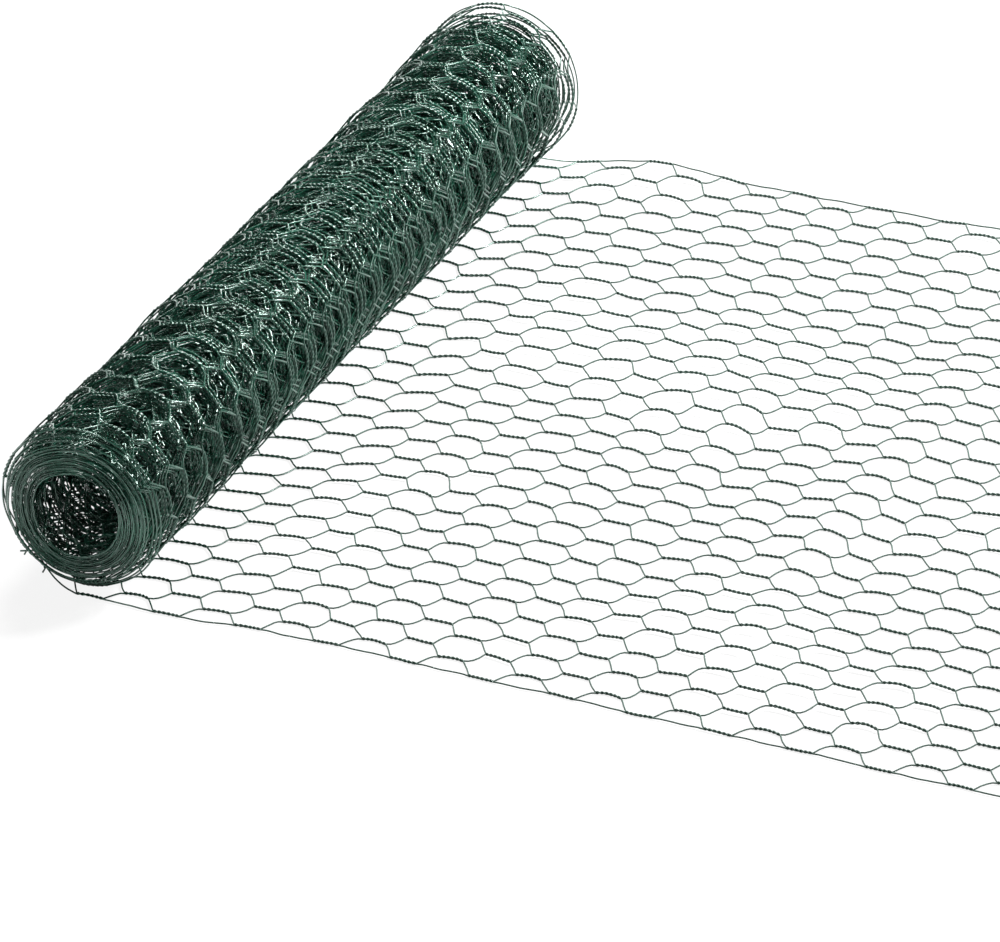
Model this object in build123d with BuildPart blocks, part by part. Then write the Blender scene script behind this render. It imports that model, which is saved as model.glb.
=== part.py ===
from build123d import *
import os
from math import hypot

# A roll of hexagonal wire netting, lying partly unrolled on a level floor.
# The roll's axis runs along Y. The netting leaves the underside of the roll and runs along +X.
# The origin is on the floor, under the middle of the whole piece. All sizes are in millimetres.

# The netting: wires twisted together in pairs, between two straight selvedges
netting_width = 610.0
cells_across = 26
cell_length = 46.8
twist_length = 16.0
wire_diameter = 0.75
twist_width = 1.5
netting_thickness = 1.5

# The unrolled stretch, in panels that meet in the middle of a row of twists
panels = 3
rows_per_panel = 8
rows_behind_axis = 1

# The roll: the rest of the length, wound on itself round an open bore
roll_diameter = 98.0
bore_diameter = 50.0
turns = 30
turns_per_ridge = 3
ridge_height = 1.2
core_slip = 12.0
loose_ridges = 3
seat_gap = 0.1

# The mesh, worked out from the sizes above
column_count = 2 * cells_across + 1
column_pitch = (netting_width - twist_width) / (column_count - 1)
row_pitch = cell_length / 2
diagonal_run = row_pitch - twist_length
half_twist = twist_length / 2
half_width = netting_width / 2
first_column_y = (twist_width - netting_width) / 2

# A cell's opening is the hexagon of wire centre lines, drawn in by half a bar on every side
run_per_width = diagonal_run / column_pitch
diagonal_inset = wire_diameter / 2 * hypot(diagonal_run, column_pitch) / column_pitch
tip_x = half_twist + diagonal_run - diagonal_inset
side_y = column_pitch - twist_width / 2
shoulder_x = tip_x - side_y * run_per_width
selvedge_y = twist_width / 2
selvedge_x = tip_x - selvedge_y * run_per_width

# Places along X: the unrolled stretch starts a little behind the roll's axis
panel_length = rows_per_panel * row_pitch
flat_start = half_twist - rows_behind_axis * row_pitch
flat_end = flat_start + panels * panel_length
roll_radius = roll_diameter / 2
bore_radius = bore_diameter / 2
axis_x = (roll_radius - flat_end) / 2
axis_height = netting_thickness + seat_gap + roll_radius

# A full cell, and the half cells that the two selvedge wires close
full_cell = [
    (-tip_x, 0),
    (-shoulder_x, side_y),
    (shoulder_x, side_y),
    (tip_x, 0),
    (shoulder_x, -side_y),
    (-shoulder_x, -side_y),
]
near_half_cell = [
    (-selvedge_x, selvedge_y),
    (-shoulder_x, side_y),
    (shoulder_x, side_y),
    (selvedge_x, selvedge_y),
]
far_half_cell = [(x, -y) for x, y in near_half_cell]


def row_x(row):
    # The middle of a row of twists, which is also the middle of the cells beside them
    return axis_x + half_twist + row * row_pitch


def column_y(column):
    return first_column_y + column * column_pitch


def cell_centres(first_row, columns):
    # Twists stand in the even columns of an even row, so its cells are in the odd ones
    rows = range(first_row, first_row + rows_per_panel + 1)
    return [(row_x(row), column_y(column)) for row in rows for column in columns if (row + column) % 2]


os.makedirs("parts", exist_ok=True)

# The unrolled netting: each panel is a flat sheet of bars, cut through by its cells
last_column = column_count - 1
for number in range(panels):
    first_row = number * rows_per_panel - rows_behind_axis
    with BuildPart() as netting:
        with BuildSketch(Plane.XY):
            with Locations((row_x(first_row) + panel_length / 2, 0)):
                Rectangle(panel_length, netting_width)
            with Locations(*cell_centres(first_row, range(1, last_column))):
                Polygon(*full_cell, align=None, mode=Mode.SUBTRACT)
            with Locations(*cell_centres(first_row, [0])):
                Polygon(*near_half_cell, align=None, mode=Mode.SUBTRACT)
            with Locations(*cell_centres(first_row, [last_column])):
                Polygon(*far_half_cell, align=None, mode=Mode.SUBTRACT)
        extrude(amount=netting_thickness)
    netting.part.label = f"flat_netting_{number + 1}"
    export_step(netting.part, f"parts/{netting.part.label}.step")

# The roll: one turned solid with its bore. The edges of the turns stand out on both ends as rings of
# selvedge wire, a few turns to each ridge. The core has slipped towards the near end, so the outermost
# turns end short of it there and run on past it at the far end.
turn_pitch = (roll_radius - bore_radius) / turns
ridge_pitch = turn_pitch * turns_per_ridge
core_radius = roll_radius - loose_ridges * ridge_pitch


def slip_at(radius):
    return core_slip * max(0, radius - core_radius) / (roll_radius - core_radius)


near_end = []
for half_ridge in range(2 * turns // turns_per_ridge + 1):
    ring_radius = bore_radius + half_ridge * ridge_pitch / 2
    groove = 0 if half_ridge % 2 else ridge_height
    near_end.append((ring_radius, slip_at(ring_radius) + groove - half_width))
far_end = []
for ring_radius, y in reversed(near_end):
    far_end.append((ring_radius, 2 * slip_at(ring_radius) - core_slip - y))

roll_axis = Axis((axis_x, 0, axis_height), (0, 1, 0))
with BuildPart() as roll:
    with BuildSketch(Plane((axis_x, 0, axis_height))):
        with BuildLine():
            Polyline(*near_end, *far_end, close=True)
        make_face()
    revolve(axis=roll_axis)
roll.part.label = "roll"
export_step(roll.part, "parts/roll.step")
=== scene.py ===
import math
from types import SimpleNamespace

import bpy
from mathutils import Matrix, Vector


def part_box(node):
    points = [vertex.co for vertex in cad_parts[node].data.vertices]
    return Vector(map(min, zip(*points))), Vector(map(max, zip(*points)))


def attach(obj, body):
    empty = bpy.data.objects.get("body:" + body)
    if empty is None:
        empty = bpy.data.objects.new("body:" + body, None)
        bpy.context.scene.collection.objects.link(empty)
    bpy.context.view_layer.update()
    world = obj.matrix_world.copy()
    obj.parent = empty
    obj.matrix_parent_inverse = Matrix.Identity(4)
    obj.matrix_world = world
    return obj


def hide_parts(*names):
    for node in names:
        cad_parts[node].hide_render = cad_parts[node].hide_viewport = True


# A roll of green plastic-coated hexagonal wire netting, partly unrolled on a pale floor.
# The frame gives the roll's axis and width and the stretch that lies flat; all sizes are in metres.
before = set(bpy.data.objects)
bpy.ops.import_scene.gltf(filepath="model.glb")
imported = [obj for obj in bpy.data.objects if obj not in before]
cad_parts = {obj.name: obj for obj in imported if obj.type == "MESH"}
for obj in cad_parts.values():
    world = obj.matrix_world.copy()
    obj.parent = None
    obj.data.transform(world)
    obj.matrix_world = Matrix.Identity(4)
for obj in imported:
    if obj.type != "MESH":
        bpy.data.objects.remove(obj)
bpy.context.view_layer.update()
roll_low, roll_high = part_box("roll")
flat_low, flat_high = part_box("flat_netting_1")

axis_x = (roll_low.x + roll_high.x) / 2
axis_z = (roll_low.z + roll_high.z) / 2
netting_width = flat_high.y - flat_low.y


# Camera
# It stands to the right of the roll's near end and looks down on it from far away with a long lens,
# so the roll runs from the lower left to the upper right and the flat netting fills the right side.
camera_azimuth = math.radians(22.88)
camera_elevation = math.radians(28.27)
camera_tilt = math.radians(0.58)
camera_distance = 5.215
target_past_axis = 0.157
target_past_middle = -0.0785

camera_data = bpy.data.cameras.new("camera")
camera_data.sensor_width = 36
camera_data.lens = 331
camera_data.clip_end = 30
camera = bpy.data.objects.new("camera", camera_data)
bpy.context.scene.collection.objects.link(camera)
bpy.context.scene.camera = camera

look = Vector((
    -math.sin(camera_azimuth) * math.cos(camera_elevation),
    math.cos(camera_azimuth) * math.cos(camera_elevation),
    -math.sin(camera_elevation),
))
target = Vector((axis_x + target_past_axis, target_past_middle, 0))
facing = look.to_track_quat("-Z", "Y").to_matrix().to_4x4()
camera.matrix_world = (
    Matrix.Translation(target - look * camera_distance) @ facing @ Matrix.Rotation(camera_tilt, 4, "Z")
)


# Coated wire
# Drawn steel wire with a glossy dark green PVC coat, whose colour and shine vary a little from place to
# place. Its skin is faintly pitted, and scuffed paler here and there. The unrolled stretch's coat is
# rougher than the roll's, and its colour there is darkened with painted shade.
class Socket:
    """A node's output that stands in a formula: each operator adds a Math node to its tree."""

    def __init__(self, tree, source=None):
        self.tree = tree
        self.source = source

    def node(self, kind, settings=None, values=None, output=0):
        made = self.tree.nodes.new(kind)
        for name, setting in (settings or {}).items():
            if name == "stops":
                ramp = made.color_ramp.elements
                while len(ramp) < len(setting):
                    ramp.new(1)
                for stop, (position, colour) in zip(ramp, setting):
                    stop.position = position
                    stop.color = (*colour, 1)
            else:
                setattr(made, name, setting)
        for name, value in (values or {}).items():
            if isinstance(value, Socket):
                self.tree.links.new(value.source, made.inputs[name])
            else:
                made.inputs[name].default_value = value
        return Socket(self.tree, made.outputs[output]) if len(made.outputs) else made

    def math(self, operation, *values):
        return self.node("ShaderNodeMath", {"operation": operation}, dict(enumerate(values)))

    def __add__(self, other):
        return self.math("ADD", self, other)

    def __radd__(self, other):
        return self.math("ADD", other, self)

    def __sub__(self, other):
        return self.math("SUBTRACT", self, other)

    def __rsub__(self, other):
        return self.math("SUBTRACT", other, self)

    def __mul__(self, other):
        return self.math("MULTIPLY", self, other)

    def __rmul__(self, other):
        return self.math("MULTIPLY", other, self)

    def __truediv__(self, other):
        return self.math("DIVIDE", self, other)

    def __neg__(self):
        return self.math("MULTIPLY", self, -1)

    def clamped(self):
        return self.math("MAXIMUM", self.math("MINIMUM", self, 1), 0)

    def tinted(self, share, colour):
        # A Mix node's colours are its seventh and eighth inputs and its third output
        return self.node("ShaderNodeMix", {"data_type": "RGBA"}, {0: share, 6: self, 7: (*colour, 1)}, 2)


def coated_wire_material():
    deep_green = (0.0035, 0.031, 0.018)
    plain_green = (0.005, 0.047, 0.028)
    light_green = (0.01, 0.072, 0.043)
    # A near-black green that paints shade onto the unrolled stretch
    painted_shade_green = (0.004, 0.012, 0.008)
    scuff_green = (0.16, 0.26, 0.21)
    patch_scale = 35
    scuff_scale = 420
    pit_scale = 2600

    material = bpy.data.materials.new("green_pvc_coat")
    material.use_nodes = True
    material.node_tree.nodes.clear()
    start = Socket(material.node_tree)
    place = start.node("ShaderNodeTexCoord", output=3)
    patches = start.node("ShaderNodeTexNoise", {}, {"Vector": place, "Scale": patch_scale, "Detail": 3})
    scuffs = start.node("ShaderNodeTexNoise", {}, {"Vector": place, "Scale": scuff_scale, "Detail": 4})
    pits = start.node("ShaderNodeTexNoise", {}, {"Vector": place, "Scale": pit_scale, "Detail": 2})

    # Only the peaks of the noise are scuffed, and those by about a third at most
    scuff_level = 0.62
    scuff_edge = 6
    scuff_share = 0.35
    scuffed = ((scuffs - scuff_level) * scuff_edge).clamped() * scuff_share

    # The rougher stretch, darkened with painted shade, begins a little beyond the roll's axis
    dull_and_shaded_from = axis_x + 0.04
    dull_and_shaded_edge = 30
    painted_shade_share = 0.7
    along_x = start.node("ShaderNodeSeparateXYZ", {}, {"Vector": place})
    dull_and_shaded = ((along_x - dull_and_shaded_from) * dull_and_shaded_edge).clamped()

    coat = start.node("ShaderNodeValToRGB", {
        "stops": [(0.3, deep_green), (0.55, plain_green), (0.75, light_green)],
    }, {"Fac": patches})
    # Beyond the roll's axis the colour is mixed towards near-black green: painted shade on the flat wires
    colour = coat.tinted(dull_and_shaded * painted_shade_share, painted_shade_green).tinted(scuffed, scuff_green)

    coat_rough = 0.17
    patch_rough = 0.1
    scuff_rough = 0.4
    dull_rough = 0.55
    rough = coat_rough + patches * patch_rough + scuffed * scuff_rough + dull_and_shaded * dull_rough
    skin = start.node("ShaderNodeBump", {}, {"Strength": 0.15, "Distance": 0.0001, "Height": pits})
    shader = start.node("ShaderNodeBsdfPrincipled", {}, {
        "Base Color": colour,
        "Roughness": rough,
        "Normal": skin,
        "IOR": 1.55,
        "Specular IOR Level": 0.85,
        "Specular Tint": (0.8, 1.0, 0.92, 1),
    })
    start.node("ShaderNodeOutputMaterial", {}, {"Surface": shader})
    return material


coated_wire = coated_wire_material()


# Netting wires
# Hexagonal netting as it comes off the machine: each zigzag wire is twisted with its left and its right
# neighbour in turn, and a straight wire closes each selvedge. One tree of nodes makes any stretch of it,
# flat on the floor beyond the roll's axis and wound into the roll behind it.
cells_across = 26
zigzag_wires = 2 * cells_across
wire_count = zigzag_wires + 2
wire_diameter = 0.001
flat_panels = 3
rows_per_panel = 8
rows_behind_axis = 1
row_pitch = (flat_high.x - flat_low.x) / rows_per_panel
first_twist = flat_low.x + rows_behind_axis * row_pitch - axis_x
twist_length = 0.016
column_pitch = (netting_width - 2 * wire_diameter) / zigzag_wires
first_column = -zigzag_wires / 2 * column_pitch
netting_seed = 3

# The winding: outer turns that lock into one another at twelve rows a turn, then tight ones down to the
# bore. The outermost turn meets the floor.
netting_length = 7.62
wound_rows = round(netting_length / row_pitch) - flat_panels * rows_per_panel
floor_height = wire_diameter
floor_radius = axis_z - floor_height
first_radius = 0.0489
core_radius = 0.0412
bore_radius = 0.0258
locked_turns = 6
rows_per_turn = 12
turn_length = rows_per_turn * row_pitch
behind_axis = rows_behind_axis * row_pitch - first_twist
tight_length = wound_rows * row_pitch + behind_axis - locked_turns * turn_length
tight_turns = tight_length / (math.pi * (core_radius + bore_radius))
tight_rate = (core_radius - bore_radius) / (tight_turns * 2 * math.pi)

# Where the sheet leaves the roll it is a little narrower than it is made, and shifted to the near side
leaving_width = 0.994
leaving_shift = 0.005


def risen(value, begin, full):
    """A share that goes softly from 0, where the value is at begin, to 1, where it is at full."""
    return value.node("ShaderNodeMapRange", {"interpolation_type": "SMOOTHSTEP"}, {
        "Value": value,
        "From Min": begin,
        "From Max": full,
    })


def noise(x, y, z, scale):
    """Soft noise on both sides of zero, read at a place of its own."""
    place = x.node("ShaderNodeCombineXYZ", {}, {0: x, 1: y, 2: z})
    return x.node("ShaderNodeTexNoise", {}, {"Vector": place, "Scale": scale, "Detail": 1}) - 0.5


def lines_of_points(start, size):
    """A plain line of points for each wire, and the wire, the row and the step in it of each point."""
    steps = size["Slope Steps"] * 2 + size["Twist Steps"]
    points = size["Rows"] * steps + 1
    line = start.node("GeometryNodeMeshLine", {}, {"Count": points})
    curve = start.node("GeometryNodeMeshToCurve", {}, {"Mesh": line})
    wires = start.node("GeometryNodeMeshLine", {}, {"Count": size["Wires"]})
    copies = start.node("GeometryNodeInstanceOnPoints", {}, {"Points": wires, "Instance": curve})
    lines = start.node("GeometryNodeRealizeInstances", {}, {"Geometry": copies})

    # Part of a step is added before rounding down, so that no whole number falls short of itself
    index = start.node("GeometryNodeInputIndex")
    wire = start.math("FLOOR", (index + 0.5) / points)
    along = index - wire * points + size["First Row"] * steps + steps / 2
    row = start.math("FLOOR", (along + 0.01) / steps)
    step = along - row * steps
    return lines, wire, row, step


def place_in_netting(start, size, wire, row, step):
    """How far along the netting a point lies, how far across it and how far above its middle."""

    # How much lies behind the point of the slope before the twists, of the twists and of the slope after
    before = (step / size["Slope Steps"]).clamped()
    twist = ((step - size["Slope Steps"]) / size["Twist Steps"]).clamped()
    after = ((step - size["Slope Steps"] - size["Twist Steps"]) / size["Slope Steps"]).clamped()

    # The column that the wire is twisted in on this row, and the side that it comes from. The last two
    # wires are the selvedges, the near one first.
    selvedge = start.math("GREATER_THAN", wire, zigzag_wires - 0.5)
    far = start.math("GREATER_THAN", wire, zigzag_wires + 0.5)
    outwards = far * 2 - 1
    odd = start.math("ROUND", start.math("FLOORED_MODULO", row + wire * (1 - selvedge), 2))
    column = (wire + odd) * (1 - selvedge) + far * zigzag_wires
    side = (1 - odd * 2) * (1 - selvedge)
    hand = side + selvedge * (1 - odd) * outwards

    # Out to the middle of the slope towards the next column. Slopes that rise towards the far selvedge are
    # hooked: they run on in line from the twists of every other row, and meet the others at a corner.
    hook_depth = 0.9
    slope = (1 - before + after) * 0.5
    rising = side * (start.math("GREATER_THAN", twist, 0.5) * 2 - 1)
    arched_row = start.math("ROUND", start.math("FLOORED_MODULO", row, 2))
    hook = start.math("MAXIMUM", rising, 0) * (arched_row * 2 - 1) * hook_depth
    across = column + side * (slope + hook * slope * (slope - 1))
    free_run = (size["Row Pitch"] - size["Twist Length"]) * 0.5
    run = (before + after - 1) * free_run + (twist - 0.5) * size["Twist Length"]
    u = row * size["Row Pitch"] + first_twist + run
    v = first_column + across * size["Column Pitch"]

    # How far back along the winding the point lies, and its share of leaving the floor for the roll
    lift_rate = 28
    wound = start.math("MAXIMUM", -u, 0)
    away = start.math("MINIMUM", wound * lift_rate, 1)

    # The selvedge wire bows out a little where it runs alone, and the twists of every other row are arched
    selvedge_bow = 0.0007
    twist_arch = 0.0013
    from_twist = start.math("PINGPONG", u - first_twist, size["Row Pitch"])
    alone = (from_twist / size["Row Pitch"] * 1.5 - 0.5).clamped()
    inside = start.math("MINIMUM", column, zigzag_wires - column).clamped()
    arched = twist * (1 - twist) * 4 * arched_row * inside
    v = v + alone * selvedge * outwards * selvedge_bow + arched * twist_arch

    # Cells pulled out of shape: whole rows of the sheet sway to one side, except at its selvedges, and
    # each cell differs a little from the next, less so where the roll holds it
    long_sway = 0.034
    short_sway = 0.012
    cell_pull = 0.005
    held_by_roll = 0.75
    seed = size["Seed"]
    from_middle = v * (2 / netting_width)
    inner = 1 - from_middle * from_middle
    sway = noise(u, v * 0.25, seed + 0.3, scale=13) * long_sway
    sway = sway + noise(u, v * 0.2, seed + 6.1, scale=26) * short_sway
    slack = size["Unevenness"] * (1 - away * held_by_roll)
    u = u + noise(u, v, seed, scale=38) * slack * cell_pull
    v = v + sway * inner * (1 - away) + noise(u, v, seed + 0.5, scale=38) * slack * cell_pull

    # The two wires of a pair run round each other
    angle = twist * size["Twist Turns"] * (2 * math.pi)
    reach = hand * size["Wire Diameter"] * 0.5 * (1 - slope * 2)
    v = v + reach * start.math("COSINE", angle)
    rise = reach * start.math("SINE", angle)
    return SimpleNamespace(
        u=u, v=v, rise=rise, wound=wound, away=away, from_middle=from_middle, inner=inner,
    )


def place_in_roll(start, seed, point):
    """Where a point of the netting lies once it is wound up."""
    u, v, away = point.u, point.v, point.away

    # The angle turned: the outer turns lock at an even number of rows, the rest close in at an even rate
    locked = start.math("MINIMUM", point.wound, locked_turns * turn_length)
    turn = locked / turn_length
    left = start.math("SQRT", core_radius ** 2 - (point.wound - locked) * (2 * tight_rate))
    turned = turn * (2 * math.pi) + (core_radius - left) / tight_rate
    sine = start.math("SINE", turned)
    cosine = start.math("COSINE", turned)
    looseness = 1 - turn / locked_turns
    from_bore = ((left - bore_radius) / (core_radius - bore_radius)).clamped()
    radius = left + looseness * (first_radius - core_radius)
    radius = radius + (1 - away) * (floor_radius - first_radius)

    # The roll's core has slipped towards the near end, from the first turns inwards
    slip_rate = 0.27
    slip_start = 0.14
    core_slip = 0.0063
    slipped = (turn * slip_rate - slip_start).clamped()

    # The core is drawn in at both ends and leans to the upper left at the far one, where the loose turns
    # spread
    near_draw = 0.0012
    far_draw = 0.002
    far_spread = 0.0025
    far_lean = 0.002
    lean_left = 0.81
    lean_up = 0.58
    near_end = risen(v, begin=-0.18, full=-0.30)
    far_end = risen(v, begin=0.14, full=0.30)
    radius = radius - (near_end * near_draw + far_end * far_draw) * slipped * from_bore
    radius = radius + far_end * looseness * looseness * away * far_spread
    lean = (1 - looseness) * from_bore * far_end * far_lean

    # Dents that go through all turns alike, small ones of each turn's own, and turns that bunch together
    dent_circle = 0.045
    dent_depth = 0.004
    tight_dent = 0.001
    loose_dent = 0.006
    bunch_rate = 1350
    bunch_left = 1.4
    bunch_down = 0.8
    bunch_depth = 0.0007
    shared = noise(sine * dent_circle, v, cosine * dent_circle, scale=14)
    own = noise(u, v, seed + 1.7, scale=16) * (tight_dent + looseness * loose_dent)
    off_centre = left * bunch_rate + sine * bunch_left + cosine * bunch_down
    bunch = start.math("SINE", off_centre) * (1 - looseness)
    radius = radius + away * (shared * dent_depth + own) + bunch * bunch_depth

    # Each turn wanders a little to one side of the last. Over the first three turns the cells drift aside,
    # part of a cell a turn, so that they don't cover those below. Near the bore they are out of line.
    wander_rate = 0.13
    wander_reach = 0.008
    dent_sway = 0.012
    core_shuffle = 0.002
    bore_shuffle = 0.02
    turn_shift = 0.0092
    shifted_turns = 3
    wander = noise(turned * wander_rate, seed + 5.5, 0, scale=1) * slipped
    shuffle = noise(u, v, seed + 3.1, scale=16) * ((1 - from_bore) * bore_shuffle + core_shuffle)
    shuffle = (shuffle + start.math("MINIMUM", turn, shifted_turns) * turn_shift) * point.inner
    aside = away * (wander * wander_reach + shared * dent_sway + shuffle)

    # The wound netting is drawn in across its width. The first turn's near edge is pushed in where it
    # rises from the floor, and the turns that line the bore stand out at the near end.
    roll_narrowing = 0.022
    roll_shift = 0.0025
    push_angle = math.radians(50)
    push = 0.008
    bore_reach = 0.004
    from_push = start.math("ABSOLUTE", turned - push_angle) * (1 / push_angle)
    pushed = (1 - from_push).clamped() * near_end * looseness
    y = v * (leaving_width - away * roll_narrowing) + away * roll_shift - leaving_shift
    y = y - slipped * core_slip + pushed * push
    y = y - (1 - from_bore) * near_end * bore_reach
    x = axis_x - (radius - point.rise) * sine - lean * lean_left
    z = axis_z - (radius - point.rise) * cosine + lean * lean_up
    return x, y + aside, z


def place_on_floor(start, seed, point):
    """Where a point of the netting lies beyond the roll's axis."""
    u, v, inner = point.u, point.v, point.inner

    # The sheet runs a little to the far side as it leaves the roll, and widens towards its free end
    far_shift = 0.012
    first_widening = 0.022
    last_widening = 0.016
    leaving = risen(u, begin=0.02, full=0.12)
    wider = risen(u, begin=0.02, full=0.09) * first_widening
    wider = wider + risen(u, begin=0.12, full=0.5) * last_widening
    y = v * (wider + leaving_width) + leaving * far_shift - leaving_shift

    # Its far edge lags, and its rows are askew close to the roll
    far_lag = 0.007
    row_skew = 0.045
    far_share = point.from_middle * 0.5 + 0.5
    skewed = risen(u, begin=0, full=0.05) * (1 - risen(u, begin=0.08, full=0.2)) * inner
    x = u + axis_x - leaving * far_share * far_share * far_lag - v * skewed * row_skew

    # Low waves lift it off the floor here and there
    wave_level = 0.02
    wave_height = 0.02
    waves = start.math("MAXIMUM", noise(u, v, seed + 2.3, scale=7) - wave_level, 0) * wave_height
    z = point.rise + waves * leaving + floor_height
    return x, y, z


def netting_tree():
    tree = bpy.data.node_groups.new("netting_wires", "GeometryNodeTree")
    tree.is_modifier = True
    tree.interface.new_socket("Geometry", in_out="OUTPUT", socket_type="NodeSocketGeometry")
    kinds = {
        "First Row": "NodeSocketInt",
        "Rows": "NodeSocketInt",
        "Wires": "NodeSocketInt",
        "Twist Steps": "NodeSocketInt",
        "Slope Steps": "NodeSocketInt",
        "Sides": "NodeSocketInt",
        "Wire Diameter": "NodeSocketFloat",
        "Row Pitch": "NodeSocketFloat",
        "Column Pitch": "NodeSocketFloat",
        "Twist Length": "NodeSocketFloat",
        "Twist Turns": "NodeSocketFloat",
        "Unevenness": "NodeSocketFloat",
        "Seed": "NodeSocketFloat",
        "Material": "NodeSocketMaterial",
    }
    inputs = {
        name: tree.interface.new_socket(name, in_out="INPUT", socket_type=kind).identifier
        for name, kind in kinds.items()
    }
    start = Socket(tree)
    given = tree.nodes.new("NodeGroupInput")
    size = {name: Socket(tree, given.outputs[name]) for name in kinds}

    # Each point goes into the roll behind its axis and onto the floor beyond it, and no wire goes below
    # the floor
    lines, wire, row, step = lines_of_points(start, size)
    point = place_in_netting(start, size, wire, row, step)
    in_roll = place_in_roll(start, size["Seed"], point)
    on_floor = place_on_floor(start, size["Seed"], point)
    is_wound = start.math("LESS_THAN", point.u, 0)
    x, y, z = (roll * is_wound + floor * (1 - is_wound) for roll, floor in zip(in_roll, on_floor))
    z = start.math("MAXIMUM", z, size["Wire Diameter"] * 0.5)
    place = start.node("ShaderNodeCombineXYZ", {}, {0: x, 1: y, 2: z})
    placed = start.node("GeometryNodeSetPosition", {}, {"Geometry": lines, "Position": place})

    # The wire's own round section
    ring = start.node("GeometryNodeCurvePrimitiveCircle", {}, {
        "Resolution": size["Sides"],
        "Radius": size["Wire Diameter"] * 0.5,
    })
    solid = start.node("GeometryNodeCurveToMesh", {}, {
        "Curve": placed,
        "Profile Curve": ring,
        "Fill Caps": True,
    })
    smooth = start.node("GeometryNodeSetShadeSmooth", {}, {"Geometry": solid})
    realized = start.node("GeometryNodeRealizeInstances", {}, {"Geometry": smooth})
    finished = start.node("GeometryNodeSetMaterial", {}, {"Geometry": realized, "Material": size["Material"]})
    start.node("NodeGroupOutput", {}, {"Geometry": finished})
    return tree, inputs


netting, netting_inputs = netting_tree()


def plain_mesh(name, holder):
    """The plain mesh that a holder gives, an empty mesh with a node tree or a thick curve."""
    bpy.context.scene.collection.objects.link(holder)
    bpy.context.view_layer.update()
    mesh = bpy.data.meshes.new_from_object(holder.evaluated_get(bpy.context.evaluated_depsgraph_get()))
    mesh.name = name
    bpy.data.objects.remove(holder)
    return mesh


def wire_piece(name, mesh, node):
    piece = bpy.data.objects.new(name, mesh)
    bpy.context.scene.collection.objects.link(piece)
    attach(piece, "root")
    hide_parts(node)


def netting_piece(name, node, first_row, rows, twist_steps, slope_steps, sides, twist_turns):
    holder = bpy.data.objects.new(name + "_holder", bpy.data.meshes.new(name + "_holder"))
    modifier = holder.modifiers.new("wires", "NODES")
    modifier.node_group = netting
    values = {
        "First Row": first_row,
        "Rows": rows,
        "Wires": wire_count,
        "Twist Steps": twist_steps,
        "Slope Steps": slope_steps,
        "Sides": sides,
        "Wire Diameter": wire_diameter,
        "Row Pitch": row_pitch,
        "Column Pitch": column_pitch,
        "Twist Length": twist_length,
        "Twist Turns": float(twist_turns),
        "Unevenness": 1.0,
        "Seed": float(netting_seed),
        "Material": coated_wire,
    }
    for label, value in values.items():
        modifier[netting_inputs[label]] = value
    wire_piece(name, plain_mesh(name, holder), node)


# Unrolled netting
# The stretch of netting that lies open on the floor, held flat by its own weight. It is made in three
# lengths that run on from one another, each in place of a panel of the frame.
flat_twist_steps = 14
flat_slope_steps = 2
flat_sides = 5
flat_twist_turns = 3
for number in range(flat_panels):
    netting_piece(
        f"unrolled_wires_{number + 1}",
        f"flat_netting_{number + 1}",
        number * rows_per_panel - rows_behind_axis,
        rows_per_panel,
        flat_twist_steps,
        flat_slope_steps,
        flat_sides,
        flat_twist_turns,
    )


# Wound netting
# The rest of the netting's length, wound on itself round an open bore, in stretches from the outside
# inwards. The outer turns and those that line the bore show most, so the turns between them have fewer
# faces. The second hidden stretch has the rows that the others leave.
loose_sides = 5
wound_slope_steps = 1

# Each stretch's rows, the steps along its twists, the sides of its wire and the turns of its twists
wound_stretches = {
    "loose_turns": (24, 12, loose_sides, 3),
    "outer_turns": (24, 9, 4, 3),
    "upper_middle_turns": (26, 6, 4, 2),
    "lower_middle_turns": (26, 5, 4, 2),
    "hidden_turns_1": (95, 2, 3, 1),
    "hidden_turns_2": (0, 2, 3, 1),
    "bore_turns": (12, 6, 4, 2),
}
rows_left = wound_rows - sum(stretch[0] for stretch in wound_stretches.values())
first_row = -rows_behind_axis
for name, (rows, twist_steps, sides, twist_turns) in wound_stretches.items():
    rows = rows or rows_left
    first_row -= rows
    netting_piece(name, "roll", first_row, rows, twist_steps, wound_slope_steps, sides, twist_turns)


# Selvedge tie
# Two wire ends meet in the near selvedge where it rises from the floor: one is wound round the other in
# a few coils, and their tips stand out. It follows the middle of that wire in the outermost turn.
tie_from = math.radians(27)
tie_to = math.radians(46)
below_first_turn = 0.0478
coils = 6
coil_steps = 10
lower_tip = 0.003
upper_tip = 0.0035
crossing_tip = Vector((0.004, 0, 0.001))
crossing_aside = Vector((0, -0.001, 0))

loose_turns = bpy.data.objects["loose_turns"].data
per_wire = len(loose_turns.vertices) // wire_count
selvedge_path = []
for ring in range(zigzag_wires * per_wire, (zigzag_wires + 1) * per_wire, loose_sides):
    corners = [loose_turns.vertices[corner].co for corner in range(ring, ring + loose_sides)]
    middle = sum(corners, Vector()) / loose_sides
    from_axis = middle - Vector((axis_x, middle.y, axis_z))
    angle = math.atan2(-from_axis.x, -from_axis.z)
    if tie_from < angle < tie_to and from_axis.length > below_first_turn:
        selvedge_path.append(middle)


def bare_wire(name, points):
    data = bpy.data.curves.new(name, "CURVE")
    data.dimensions = "3D"
    data.bevel_depth = wire_diameter / 2
    data.bevel_resolution = 1
    data.use_fill_caps = True
    spline = data.splines.new("POLY")
    spline.points.add(len(points) - 1)
    for point, place in zip(spline.points, points):
        point.co = (*place, 1)
    mesh = plain_mesh(name, bpy.data.objects.new(name + "_holder", data))
    mesh.materials.clear()
    mesh.materials.append(coated_wire)
    wire_piece(name, mesh, "roll")


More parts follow.
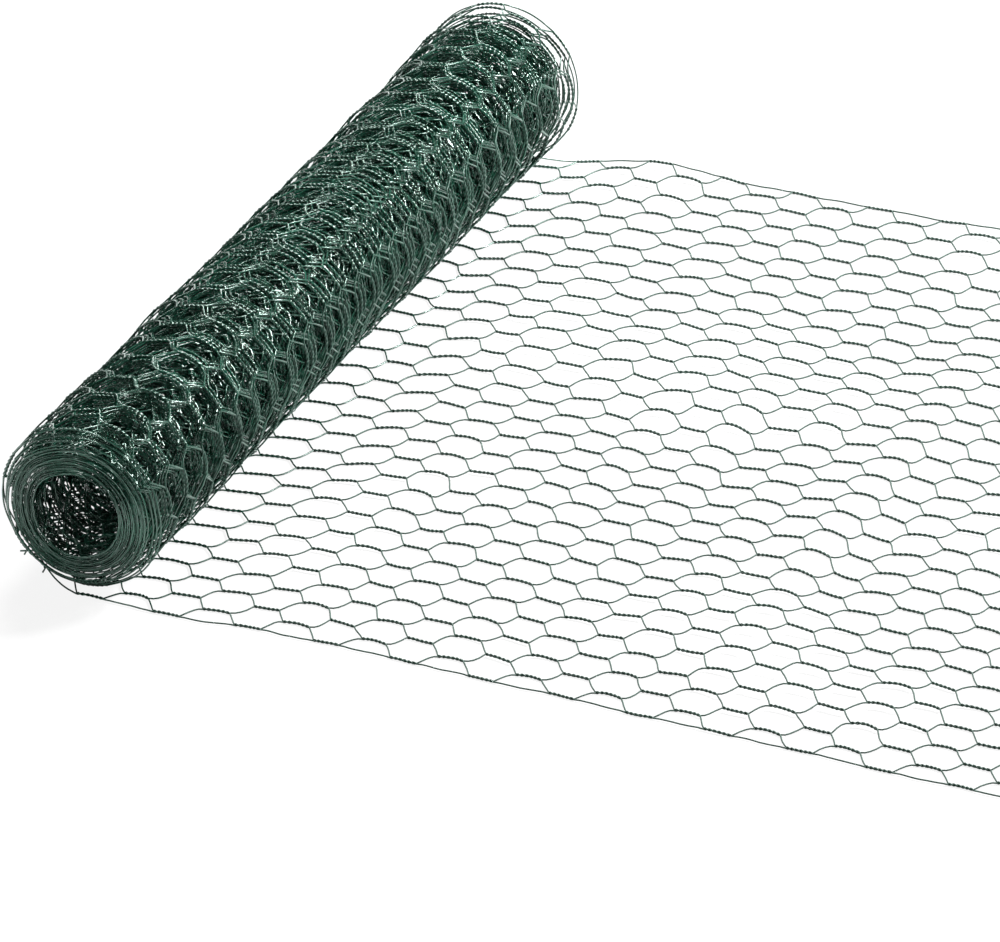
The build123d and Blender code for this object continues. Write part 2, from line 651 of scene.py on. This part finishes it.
tie = []
for step in range(coils * coil_steps + 1):
    place = step / (coils * coil_steps) * (len(selvedge_path) - 1)
    before = min(int(place), len(selvedge_path) - 2)
    middle = selvedge_path[before].lerp(selvedge_path[before + 1], place - before)
    along = (selvedge_path[before + 1] - selvedge_path[before]).normalized()
    outward = Vector((middle.x - axis_x, 0, middle.z - axis_z)).normalized()
    turned = step / coil_steps * 2 * math.pi
    around = outward * math.cos(turned) + along.cross(outward) * math.sin(turned)
    tie.append(middle + around * wire_diameter)
tie.insert(0, tie[0] + outward * lower_tip)
tie.append(tie[-1] + outward * upper_tip)
bare_wire("selvedge_tie", tie)

upper_end = max(selvedge_path, key=lambda place: place.z)
bare_wire("selvedge_tip", [upper_end + crossing_tip * end + crossing_aside for end in (-1, 0, 1)])


# Floor
# A plain white floor. To the camera it glows nearly white by itself, and its paint below that glow
# keeps a soft shadow under the netting.
floor_half = 4
floor_paint = (0.85, 0.85, 0.85, 1)
floor_glow = 0.88
white = (1, 1, 1, 1)


def floor_material():
    material = bpy.data.materials.new("white_floor")
    material.use_nodes = True
    material.node_tree.nodes.clear()
    start = Socket(material.node_tree)
    is_camera_ray = start.node("ShaderNodeLightPath", output=0)
    paint = start.node("ShaderNodeBsdfDiffuse", {}, {"Color": floor_paint})
    glow = start.node("ShaderNodeEmission", {}, {"Color": white, "Strength": 1.0})
    shader = start.node("ShaderNodeMixShader", {}, {0: is_camera_ray * floor_glow, 1: paint, 2: glow})
    start.node("ShaderNodeOutputMaterial", {}, {"Surface": shader})
    return material


floor_corners = [
    (-floor_half, -floor_half, 0),
    (floor_half, -floor_half, 0),
    (floor_half, floor_half, 0),
    (-floor_half, floor_half, 0),
]
floor_mesh = bpy.data.meshes.new("floor")
floor_mesh.from_pydata(floor_corners, [], [(0, 1, 2, 3)])
floor_mesh.materials.append(floor_material())
floor = bpy.data.objects.new("floor", floor_mesh)
bpy.context.scene.collection.objects.link(floor)


# Lamps and surroundings
# Three round soft lamps that face the origin: the key beyond the sheet at the far right, one behind the
# roll and a weak one at the near left. The surroundings light the object faintly and show as white.
def lamp(name, place, size, power):
    data = bpy.data.lights.new(name, "AREA")
    data.shape = "DISK"
    data.size = size
    data.energy = power
    made = bpy.data.objects.new(name, data)
    bpy.context.scene.collection.objects.link(made)
    facing = (-Vector(place)).to_track_quat("-Z", "Y").to_matrix().to_4x4()
    made.matrix_world = Matrix.Translation(place) @ facing


lamp("key_lamp", (1.14, 1.36, 1.62), size=0.6, power=175)
lamp("back_lamp", (-0.83, 1.45, 2.0), size=0.9, power=110)
lamp("fill_lamp", (-1.2, -1.8, 1.3), size=1.0, power=10)

surroundings_light = 0.06
world = bpy.data.worlds.new("surroundings")
bpy.context.scene.world = world
world.use_nodes = True
world.node_tree.nodes.clear()
start = Socket(world.node_tree)
is_camera_ray = start.node("ShaderNodeLightPath", output=0)
light = start.node("ShaderNodeBackground", {}, {"Color": white, "Strength": surroundings_light})
shown = start.node("ShaderNodeBackground", {}, {"Color": white, "Strength": 1.0})
mixed = start.node("ShaderNodeMixShader", {}, {0: is_camera_ray, 1: light, 2: shown})
start.node("ShaderNodeOutputWorld", {}, {"Surface": mixed})

bpy.context.scene.view_settings.view_transform = "Standard"
